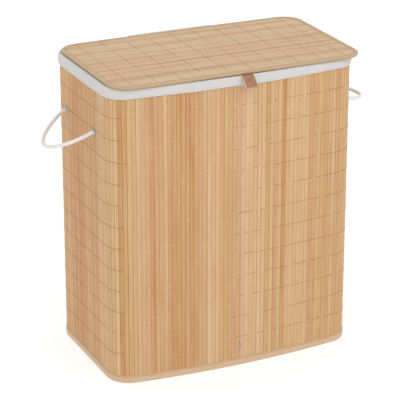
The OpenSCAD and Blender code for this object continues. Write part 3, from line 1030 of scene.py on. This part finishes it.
def rim_tape():
    """The tape folded over the mat's top edge and the hoop."""
    low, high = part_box("top_edge_tape")
    outer = high.x - SIDE_X - 0.0003
    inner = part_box("rim_hoop")[1].x - SIDE_X - 0.0017
    turn = [(outer - 0.0006, high.z - 0.0004), (outer - 0.002, high.z - 0.0003),
            (inner + 0.0006, high.z - 0.0004)]
    line = [(outer, z) for z in np.linspace(low.z, high.z - 0.001, 6)] + turn
    line += [(inner, z) for z in np.linspace(high.z - 0.001, low.z, 6)]
    wall_sheet("rim_tape", "top_edge_tape", tape_cloth, line, TAPE_CLOTH_T,
               MAT_SEAM, MAT_SEAM + wall.length)


# ---- hem tape

HEM_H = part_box("bottom_hem_tape")[1].z
HEM_OUT = 0.0009
INNER_TAPE = -SLAT_T - BACKING_T - 0.0006
HEM_STITCH_Z = HEM_H - 0.0024


def hem_wave(t):
    """How far the tape's upper edge wanders up and down."""
    return 0.00035 * smooth_noise(t / 0.21, 11)


def hem_stitch(s):
    return np.append(wall.at(np.array(s), HEM_OUT * 0.9), HEM_STITCH_Z + hem_wave(s))


def hem_tape():
    """Tape folded round the wall's lower edge, pressed a little into the gaps, with a row of stitches."""
    t = np.linspace(0, wall.length, 529)[:-1]
    section = [(0.0, HEM_H - 0.0002), (HEM_OUT * 0.75, HEM_H), (HEM_OUT, HEM_H - 0.0006),
               (HEM_OUT * 0.8, HEM_H - 0.0024), (HEM_OUT, HEM_H - 0.0050), (HEM_OUT * 1.1, 0.0080),
               (HEM_OUT, 0.0022), (HEM_OUT * 0.55, 0.0007), (-0.0004, 0.0), (INNER_TAPE + 0.0006, 0.0),
               (INNER_TAPE, 0.0010), (INNER_TAPE, HEM_H - 0.001), (INNER_TAPE + 0.0006, HEM_H - 0.0004)]
    back = -SLAT_T - BACKING_T
    section += [(back, 0.0012), (back, 0.0007), (-0.0002, 0.0007), (0.0, 0.0012)]
    press = 0.00010 * np.abs(np.sin(math.pi * t / SLAT_PITCH))
    points = []
    for k, (out, z) in enumerate(section):
        visible = 1.0 if k < 7 else 0.0
        lift = hem_wave(t) if z > HEM_H / 2 else 0.0
        points.append(wall.ring(t, out + visible * (press - 0.00005), z + lift))
    points = np.stack(points, axis=1)
    shape = Shape()
    flat = grid(np.append(t, wall.length)[:, None], round_section(section)[None])
    shape.surface(np.concatenate([points, points[:1]]), flat)
    piece = make_piece(shape, "hem_tape", edge_tape, "basket", ["bottom_hem_tape"],
                       TAPE_SHARP, welded=True)
    stitching = seam("hem_stitches", brown_thread, "brown_thread", "basket", [(hem_stitch, wall_out)],
                     wall.length, *HEM_STITCH)


hem_tape()
cloth_backing()
closing_tape()
rim_tape()


# ---- cotton liner

CUFF_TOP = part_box("liner_cuff")[1].z + 0.0005
CUFF_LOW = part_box("liner_cuff")[0].z
BAG_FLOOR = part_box("liner_bag")[0].z
CLOTH_T = 0.0008
LEFT_SAG = 0.0035
CUFF_STITCH_Z = CUFF_LOW + 0.0032


def cuff_hang(t):
    """How far the cuff's lower edge hangs below level. It sags at the middle of the left side."""
    sag = LEFT_SAG * np.exp(-((t - 3 * wall.quarter) / 0.15) ** 4)
    return sag + 0.0006 * smooth_noise(t / 0.33, 25, 2)


def cuff_pucker(t, drop):
    """How far the cuff stands off, from 0 at its fold to most at its stitched edge, where drop is 1."""
    return 0.00036 * smooth_noise(t / 0.035 + 0.6 * drop, 24, 2) * drop


def cuff_stitch(s):
    drop = (CUFF_TOP - CUFF_STITCH_Z) / (CUFF_TOP - CUFF_LOW)
    xy = wall.at(np.array(s), CUFF_OUT + 0.0012 + cuff_pucker(s, drop))
    return np.append(xy, CUFF_STITCH_Z - cuff_hang(s) * drop)


def liner_profile():
    """The liner's line from the bag's floor, up the inside, over the rim and down: (out, height)."""
    inner = -LINER_INSET - CLOTH_T
    rise = [(inner + 0.012 * math.cos(q) - 0.012, BAG_FLOOR + 0.012 - 0.012 * math.sin(q))
            for q in np.linspace(math.pi / 2, 0, 5)]
    rise += [(inner, z) for z in np.linspace(BAG_FLOOR + 0.03, CUFF_TOP - 0.05, 34)]
    turn = [(inner + 0.0005, CUFF_TOP - 0.034), (inner + 0.003, CUFF_TOP - 0.018),
            (inner + 0.0065, CUFF_TOP - 0.008), (inner + 0.0105, CUFF_TOP - 0.0022),
            (inner + 0.0145, CUFF_TOP - 0.0003), (-0.0006, CUFF_TOP), (0.0012, CUFF_TOP - 0.0006),
            (0.0022, CUFF_TOP - 0.0022)]
    fall = [(CUFF_OUT + bulge, CUFF_TOP + (CUFF_LOW - CUFF_TOP) * share) for share, bulge in
            ((0.22, 0.0007), (0.34, 0.0011), (0.46, 0.0013), (0.58, 0.0013), (0.70, 0.0011), (0.80, 0.0008),
             (0.88, 0.0004), (0.95, 0.0003), (1.0, -0.0002))]
    tuck = [(CUFF_OUT - 0.0011, CUFF_LOW + 0.0006), (CUFF_OUT - 0.0014, CUFF_LOW + 0.006)]
    return np.array(rise + turn + fall + tuck)


def cotton_liner():
    """A hanging bag with its top turned down over the rim, creased inside, and sewn at its lower edge."""
    t = np.linspace(0, wall.length, 481)[:-1]
    rows = []
    for out, z in liner_profile():
        inside = out < -0.01
        outside = out > 0.0005 and z < CUFF_TOP - 0.001
        depth = np.clip((CUFF_TOP - z) / 0.12, 0, 1) * np.clip((z - BAG_FLOOR) / 0.06, 0, 1)
        folds = (0.0034 * smooth_noise(t / 0.17 + 0.35 * z, 21, 2)
                 + 0.0012 * smooth_noise(t / 0.05 - 1.1 * z, 22, 2))
        crease = 0.0010 * smooth_noise(z / 0.09 + 3.0 * np.sin(t / 0.13), 23, 2)
        drop = np.clip((CUFF_TOP - z) / (CUFF_TOP - CUFF_LOW), 0, 1)
        move = depth * (folds + crease) if inside else (cuff_pucker(t, drop) if outside else 0.0)
        hang = cuff_hang(t) * drop if outside else 0.0
        rows.append(wall.ring(t, out + move, z - hang))
    floor_ring = rows[0]
    middle = floor_ring.mean(axis=0)
    floor = []
    for share in (0.03, 0.15, 0.3, 0.45, 0.6, 0.72, 0.83, 0.92):
        ring = middle + (floor_ring - middle) * share
        ring[:, 2] += 0.0012 * (1 - share) * (1 + smooth_noise(t / 0.22 + 2 * share, 26, 2))
        floor.append(ring)
    points = np.stack(floor + rows)
    flat = grid(np.append(t, wall.length)[None], lengths(points[:, 0])[:, None])
    shape = Shape()
    shape.surface(points, flat)
    centre = np.broadcast_to(middle + np.array([0, 0, 0.0024]), (1, len(t), 3))
    shape.surface(np.concatenate([centre, points[:1]]), flat[:2])
    piece = make_piece(shape, "cotton_liner", cotton, "basket", ["liner_bag", "liner_cuff"],
                       welded=True, thickness=CLOTH_T)
    stitching = seam("cuff_stitches", white_thread, "white_cotton", "basket", [(cuff_stitch, wall_out)],
                     wall.length, *CUFF_STITCH)


cotton_liner()


# ---- base cover

BASE_CLOTH_T = 0.0006


def base_cover():
    """Cloth stretched round the base board, rounded at its edges, with a seam round its underside."""
    low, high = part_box("base_cover")
    inset = SIDE_X - high.x
    turn = 0.0016
    edge = [(-inset - turn + turn * math.sin(q), low.z + turn - turn * math.cos(q))
            for q in np.linspace(0.1, math.pi / 2, 5)]
    edge += [(-inset - turn + turn * math.cos(q), high.z - turn + turn * math.sin(q))
             for q in np.linspace(0.0, math.pi / 2 - 0.1, 5)]
    t = np.linspace(0, wall.length, 241)
    rings = []
    for share in (0.02, 0.25, 0.5, 0.7, 0.85, 0.95):
        xy = wall.at(t, -inset - turn) * share
        loose = 0.0003 * (1 - share) * (1 + smooth_noise(xy[:, 0] / 0.15 + xy[:, 1] / 0.2, 61, 2))
        rings.append(np.column_stack([xy, low.z + loose]))
    for out, z in edge:
        rings.append(wall.ring(t, out, z))
    for share in (0.95, 0.7, 0.4, 0.02):
        rings.append(np.column_stack([wall.at(t, -inset - turn) * share, np.full(len(t), high.z)]))
    points = np.stack(rings)
    shape = Shape()
    shape.surface(points, points[..., :2], closed=False)
    piece = make_piece(shape, "base_cloth_cover", base_cloth, "basket", ["base_cover"],
                       welded=True, thickness=BASE_CLOTH_T, offset=-1.0)

    def place(s):
        return np.append(wall.at(np.array(s), -inset - 0.010), low.z + 0.0003)

    stitching = seam("base_stitches", seam_thread, "brown_thread", "basket", [(place, downwards)],
                     wall.length, *BASE_STITCH)


base_cover()


# ---- lid

def lid_half_width(y, inset):
    """Half the lid's width at depth y from its middle, inside its edge by inset."""
    over = np.maximum(np.abs(y) - lid.b, 0)
    r = lid.corner - inset
    return lid.a + np.sqrt(np.maximum(r * r - over * over, 0))


DARK_LID_SLATS = {5, 6, 13, 19, 27, 32}
LINING_T = 0.0004


def lid_slats():
    shape = Shape()
    inset = LID_TAPE_T + 0.0004
    half_depth = lid.b + lid.corner - inset - 0.001
    pitch = 2 * half_depth / LID_SLATS
    for number in range(LID_SLATS):
        rng = random.Random(LID_SLAT_SEED + number)
        width = pitch - SLAT_GAP * rng.uniform(0.6, 1.1)
        section = slat_section(width, LID_SLAT_T - rng.uniform(0, 0.0001))
        y = -half_depth + (number + 0.5) * pitch + section[:, 0]
        span = lid_half_width(y, inset)
        reach = lid.a + lid.corner
        places, bump = joint_rows(-1.0, 1.0, rng, LID_JOINTS / reach)
        x = places[:, None] * span[None]
        z = LID_FACE_Z - LID_SLAT_T + section[:, 1] + joint_lift(section, LID_SLAT_T, bump)
        points = np.stack([x + lid_centre.x, np.broadcast_to(y + lid_centre.y, x.shape), z], axis=-1)
        tone = 0.5 + 0.2 * math.sin(number * 1.1) * rng.random() + rng.uniform(-0.15, 0.15)
        if number in DARK_LID_SLATS:
            tone = 0.12 + 0.12 * rng.random()
        add_slat(shape, section, points, places * reach, bump, tone=tone, seed=rng.random())
    make_piece(shape, "lid_bamboo", lid_bamboo, "lid", ["lid_slats"], SLAT_SHARP)
    return half_depth, pitch


def lid_thread_run(shape, first, last, x0, half_depth, pitch, rng):
    """A stretch of thread over the lid's slats first to last - 1."""
    x, y, z = [], [], []
    for slat in range(first, last):
        wander = rng.uniform(-0.0005, 0.0005)
        for share, height in ((0.0, -LID_THREAD_DIP), (0.08, 0.0), (0.3, 0.00022), (0.7, 0.00022),
                              (0.92, 0.0)):
            x.append(x0 + wander)
            y.append(-half_depth + (slat + share) * pitch)
            z.append(LID_FACE_Z + height)
    x.append(x[-1])
    y.append(-half_depth + last * pitch)
    z.append(LID_FACE_Z - LID_THREAD_DIP)
    y = np.array(y)
    path = np.column_stack([evened(x), y + lid_centre.y, z])
    out = np.broadcast_to((0.0, 0.0, 1.0), path.shape)
    add_thread(shape, path, out, np.array((1.0, 0.0, 0.0)), y, seed=rng.random())


def lid_threads(half_depth, pitch):
    """Rows of thread from the front to the back, over the slats and down into the gaps between them."""
    shape = Shape()
    span = 2 * lid.a
    for row in range(LID_THREADS):
        rng = random.Random(LID_THREAD_SEED + row)
        x0 = lid_centre.x - span / 2 + row * span / (LID_THREADS - 1)
        number = 1
        while number < LID_SLATS - 1:
            start = number
            while number < LID_SLATS - 1 and rng.random() < LID_THREAD_SHOWS:
                number += 1
            if number > start:
                lid_thread_run(shape, start, number, x0, half_depth, pitch, rng)
            number += 1
    make_piece(shape, "lid_thread_rows", brown_thread, "lid", ["lid_threads"])


def lid_edge_tape():
    """Tape folded round the lid's edge, over the slats and under the board, stitched near its inner edge."""
    t = np.linspace(0, lid.length, 481)
    top, low = LID_Z1, LID_Z0
    middle, half = (top + low) / 2, (top - low) / 2
    ring = [(-LID_TAPE_W, top - 0.0007), (-LID_TAPE_W + 0.0003, top - 0.0001),
            (-LID_TAPE_W + 0.0012, top - 0.0001), (-LID_TAPE_W + 0.0024, top - 0.0003),
            (-LID_TAPE_W + 0.0040, top), (-0.0040, top + 0.0001)]
    ring += [(-0.0026 + 0.0026 * math.sin(q), middle + half * math.cos(q))
             for q in np.linspace(0.25, math.pi - 0.25, 9)]
    ring += [(-0.0040, low), (-LID_TAPE_W + 0.0003, low), (-LID_TAPE_W, low + 0.0005)]
    ring += [(-LID_TAPE_W + 0.0004, low + 0.0007), (-0.0016, low + 0.0007), (-0.0009, middle),
             (-0.0016, LID_FACE_Z + 0.0001), (-LID_TAPE_W + 0.0004, LID_FACE_Z + 0.0001)]
    ring = np.array(ring)
    # the inner edge wanders in a whole number of waves
    wave = 0.0003 * smooth_noise(t / lid.length * (lid.length // 0.19), 31, 2)
    points = [lid.ring(t, out + (wave if k < 4 else 0.0), z) for k, (out, z) in enumerate(ring)]
    points = np.stack(points, axis=1)
    points[-1] = points[0]
    # painted shade: the tape's outer roll is darker towards its lower side, under the lid's edge
    painted_shade = np.interp(ring[:, 1], [middle - half * 0.6, middle + half * 0.7], [1.0, 0.0])
    painted_shade = painted_shade * (ring[:, 0] > -0.004)
    shape = Shape()
    flat = grid(t[:, None], round_section(ring)[None])
    shape.surface(points, flat, mark=np.append(painted_shade, painted_shade[0])[None])
    piece = make_piece(shape, "lid_edge_tape", lid_tape, "lid", ["lid_binding"],
                       TAPE_SHARP, welded=True)

    def above(s):
        return np.append(lid.at(np.array(s), -LID_TAPE_W + 0.0022), top - 0.0001)

    def below(s):
        return np.append(lid.at(np.array(s), -LID_TAPE_W + 0.0022), low + 0.0001)

    stitching = seam("lid_edge_stitches", dark_seam_thread, "brown_thread", "lid",
                     [(above, upwards), (below, downwards)], lid.length, *TAPE_STITCH)


def lid_lining():
    """White cotton under the lid, a little loose between its edges."""
    t = np.linspace(0, lid.length, 241)[:-1]
    edge = lid.at(t, -LID_TAPE_W + 0.0006)
    middle = np.array([lid_centre.x, lid_centre.y])
    shares = np.concatenate([[0.02], np.linspace(0.08, 1.0, 24)])
    points = []
    for share in shares:
        xy = middle + (edge - middle) * share
        loose = 0.00025 * (1 - share ** 6) * smooth_noise(xy[:, 0] / 0.12 + xy[:, 1] / 0.3, 41, 2)
        points.append(np.column_stack([xy, LID_Z0 + 0.0001 + loose]))
    points = np.stack(points)
    closed = np.concatenate([points, points[:, :1]], axis=1)
    shape = Shape()
    shape.surface(points, closed[..., :2])
    centre = np.broadcast_to(np.append(middle, LID_Z0 + 0.0001), (1, len(t), 3))
    shape.surface(np.concatenate([centre, points[:1]]), closed[[0, 0], :, :2])
    piece = make_piece(shape, "lid_cotton_lining", cotton, "lid", ["lid_lining"],
                       welded=True, thickness=LINING_T)


lid_depth, lid_pitch = lid_slats()
lid_threads(lid_depth, lid_pitch)
lid_edge_tape()
lid_lining()


# ---- cloth hinge

HINGE_CLOTH_T = 0.0008
HINGE_STEP = 0.0012


def hinge_cloth():
    """One strip of tape from the wall's back, over the hinge line, to the underside of the lid."""
    axis = Vector(handle_joint("lid_hinge")["pos_m"])
    leaf_low, leaf_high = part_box("hinge_wall_leaf")
    lid_leaf_low, lid_leaf_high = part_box("hinge_lid_leaf")
    columns = np.linspace(-HINGE_SLATS, HINGE_SLATS, 61) * SLAT_PITCH + 2 * wall.quarter
    edge = wall.at(columns)
    ridge = axis.y - 0.0008
    points = []
    for x, y in edge:
        line = [(y + 0.0006, leaf_low.z), (y + 0.0006, leaf_low.z + 0.012), (y + 0.0008, leaf_low.z + 0.024),
                (y + 0.0014, CUFF_LOW - 0.003), (y + 0.0038, CUFF_LOW + 0.002),
                (max(y + 0.0040, ridge - 0.0030), CUFF_TOP - 0.008), (ridge - 0.0006, CUFF_TOP - 0.003),
                (ridge, LID_Z0 - 0.0012), (ridge - 0.0012, LID_Z0 - 0.0004), (ridge - 0.006, LID_Z0 - 0.0004),
                (ridge - 0.018, LID_Z0 - 0.0005), (lid_leaf_low.y, LID_Z0 - 0.0005)]
        points.append(spline([(x, b, c) for b, c in line], HINGE_STEP))
    rows = min(len(p) for p in points)
    points = np.stack([p[np.linspace(0, len(p) - 1, rows).round().astype(int)] for p in points], axis=1)
    shape = Shape()
    shape.surface(points, grid(columns[None], (np.arange(rows) * HINGE_STEP)[:, None]), closed=False)
    piece = make_piece(shape, "hinge_cloth", cotton,
                       nodes=["hinge_wall_leaf", "hinge_lid_leaf"], thickness=HINGE_CLOTH_T)
    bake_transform(piece)
    width = np.ptp(columns)

    def row(z):
        """A row of stitches across the wall's leaf at height z."""
        return (lambda s: np.append(wall.at(np.array(columns[0] + 0.004 + s), 0.0011), z),
                lambda s: wall_out(columns[0] + s))

    stitching = seam("hinge_stitches", white_thread, "white_cotton", "basket",
                     [row(leaf_low.z + 0.003), row(leaf_low.z + 0.014)], width - 0.008, *TAPE_STITCH)
    strip = (leaf_high.z - leaf_low.z) + (lid_leaf_high.y - lid_leaf_low.y)
    strip += abs(lid_leaf_low.z - leaf_high.z)


hinge_cloth()


# ---- leather tab

def rounded_strap(width, thickness):
    """Points round a strap's section, across and up, and 1 where a point is on its cut edge."""
    half, up = width / 2, thickness / 2
    side = [(half - 0.0018, up), (half - 0.0011, up), (half - 0.0002, up * 0.8), (half, 0.0),
            (half - 0.0002, -up * 0.8), (half - 0.0011, -up), (half - 0.0018, -up)]
    cut = [0.0, 0.8, 1.0, 1.0, 1.0, 0.8, 0.0]
    face = [(half * s, -up) for s in (0.7, 0.35, 0.0, -0.35, -0.7)]
    right = side + face
    marks = cut + [0.0] * len(face)
    return np.array(right + [(-u, -v) for u, v in right]), np.array(marks + marks)


def leather_tab():
    """A strap sewn under the lid's front edge, drooping in front of the cuff, folded double at its end."""
    pivot = Vector(handle_joint("tab_flex")["pos_m"])
    tab_low, tab_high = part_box("pull_tab")
    anchor_low, anchor_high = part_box("tab_anchor")
    droop = math.radians(TAB_DROOP)
    down = np.array([0.0, -math.cos(droop), -math.sin(droop)])
    up = np.array([0.0, -math.sin(droop), math.cos(droop)])
    start = np.array(pivot)
    length = (tab_high.z - tab_low.z) / math.sin(droop) - 0.002
    layer = TAB_T / 2 + 0.0001
    anchor_z = (anchor_low.z + anchor_high.z) / 2
    line = [(pivot.x, anchor_high.y, anchor_z), (pivot.x, anchor_high.y - 0.008, anchor_z),
            (pivot.x, anchor_low.y + 0.004, anchor_z)]
    line += [start + down * d + up * layer for d in (0.0012, 0.005, 0.011, 0.018, length - 0.002)]
    line += [start + down * (length - 0.0007 + 0.0007 * math.sin(q)) + up * layer * math.cos(q)
             for q in np.linspace(0.4, math.pi - 0.4, 5)]
    line += [start + down * d - up * layer for d in (length - 0.002, 0.018, 0.011, 0.006, 0.003)]
    path = spline(line, 0.0005)
    way = np.gradient(path, axis=0)
    way /= np.linalg.norm(way, axis=1)[:, None]
    across = np.array([1.0, 0.0, 0.0])
    face = np.cross(way, across)
    section, cut = rounded_strap(tab_high.x - tab_low.x, TAB_T)
    place = lengths(path)
    thin = np.clip(0.72 + place / 0.02 * 0.28, 0.72, 1.0)
    width_wave = 1 + 0.004 * smooth_noise(place / 0.03, 51, 2)
    points = (path[:, None] + (section[:, 0] * width_wave[:, None])[..., None] * across
              + (section[:, 1] * thin[:, None])[..., None] * face[:, None])
    flat = grid(round_section(section)[None], place[:, None])
    mark = np.broadcast_to(np.append(cut, cut[0])[None], flat.shape[:2])
    shape = Shape()
    shape.surface(points, flat, capped=True, mark=mark)
    piece = make_piece(shape, "leather_tab", tan_leather,
                       nodes=["tab_anchor", "pull_tab"], sharp=50)
    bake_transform(piece)


leather_tab()


# ---- finishes of the parts that stay

FINISHES = {
    "rim_hoop": zinc, "base_board": board, "base_brace": zinc, "brace_rivets": zinc,
    "rivet_washers": zinc, "eyelets": nickel, "eyelet_washers": nickel, "lid_board": board,
}
for name, finish in FINISHES.items():
    for material_slot in frame["nodes"][name].material_slots:
        material_slot.material = finish


# ---- floor and light

def make_floor():
    data = bpy.data.meshes.new("floor")
    reach = 14.0
    data.from_pydata([(-reach, -reach, 0), (reach, -reach, 0), (reach, reach, 0), (-reach, reach, 0)], [],
                     [(0, 1, 2, 3)])
    m = Material("floor", Roughness=0.9, Specular_IOR_Level=0.1, Base_Color=(0.45, 0.45, 0.45, 1.0),
                 Emission_Color=(1.0, 1.0, 1.0, 1.0), Emission_Strength=0.62)
    data.materials.append(m.made)
    floor = bpy.data.objects.new("floor", data)
    floor.location.z = cad_low.z
    scene.collection.objects.link(floor)


def area_light(name, azimuth, elevation, distance, size, power):
    data = bpy.data.lights.new(name, "AREA")
    data.shape = "DISK"
    data.size = size
    data.energy = power
    lamp = bpy.data.objects.new(name, data)
    back = direction(azimuth, elevation)
    lamp.location = Vector((0, 0, CAMERA_AIM_Z)) + back * distance
    lamp.rotation_euler = back.to_track_quat("Z", "Y").to_euler()
    scene.collection.objects.link(lamp)


def make_light():
    world = bpy.data.worlds.new("studio")
    world.use_nodes = True
    world.node_tree.nodes["Background"].inputs["Color"].default_value = (1.0, 1.0, 1.0, 1.0)
    world.node_tree.nodes["Background"].inputs["Strength"].default_value = 1.0
    scene.world = world
    area_light("key", azimuth=5, elevation=40, distance=3.2, size=2.0, power=15)
    scene.view_settings.view_transform = "Standard"


make_floor()
make_light()
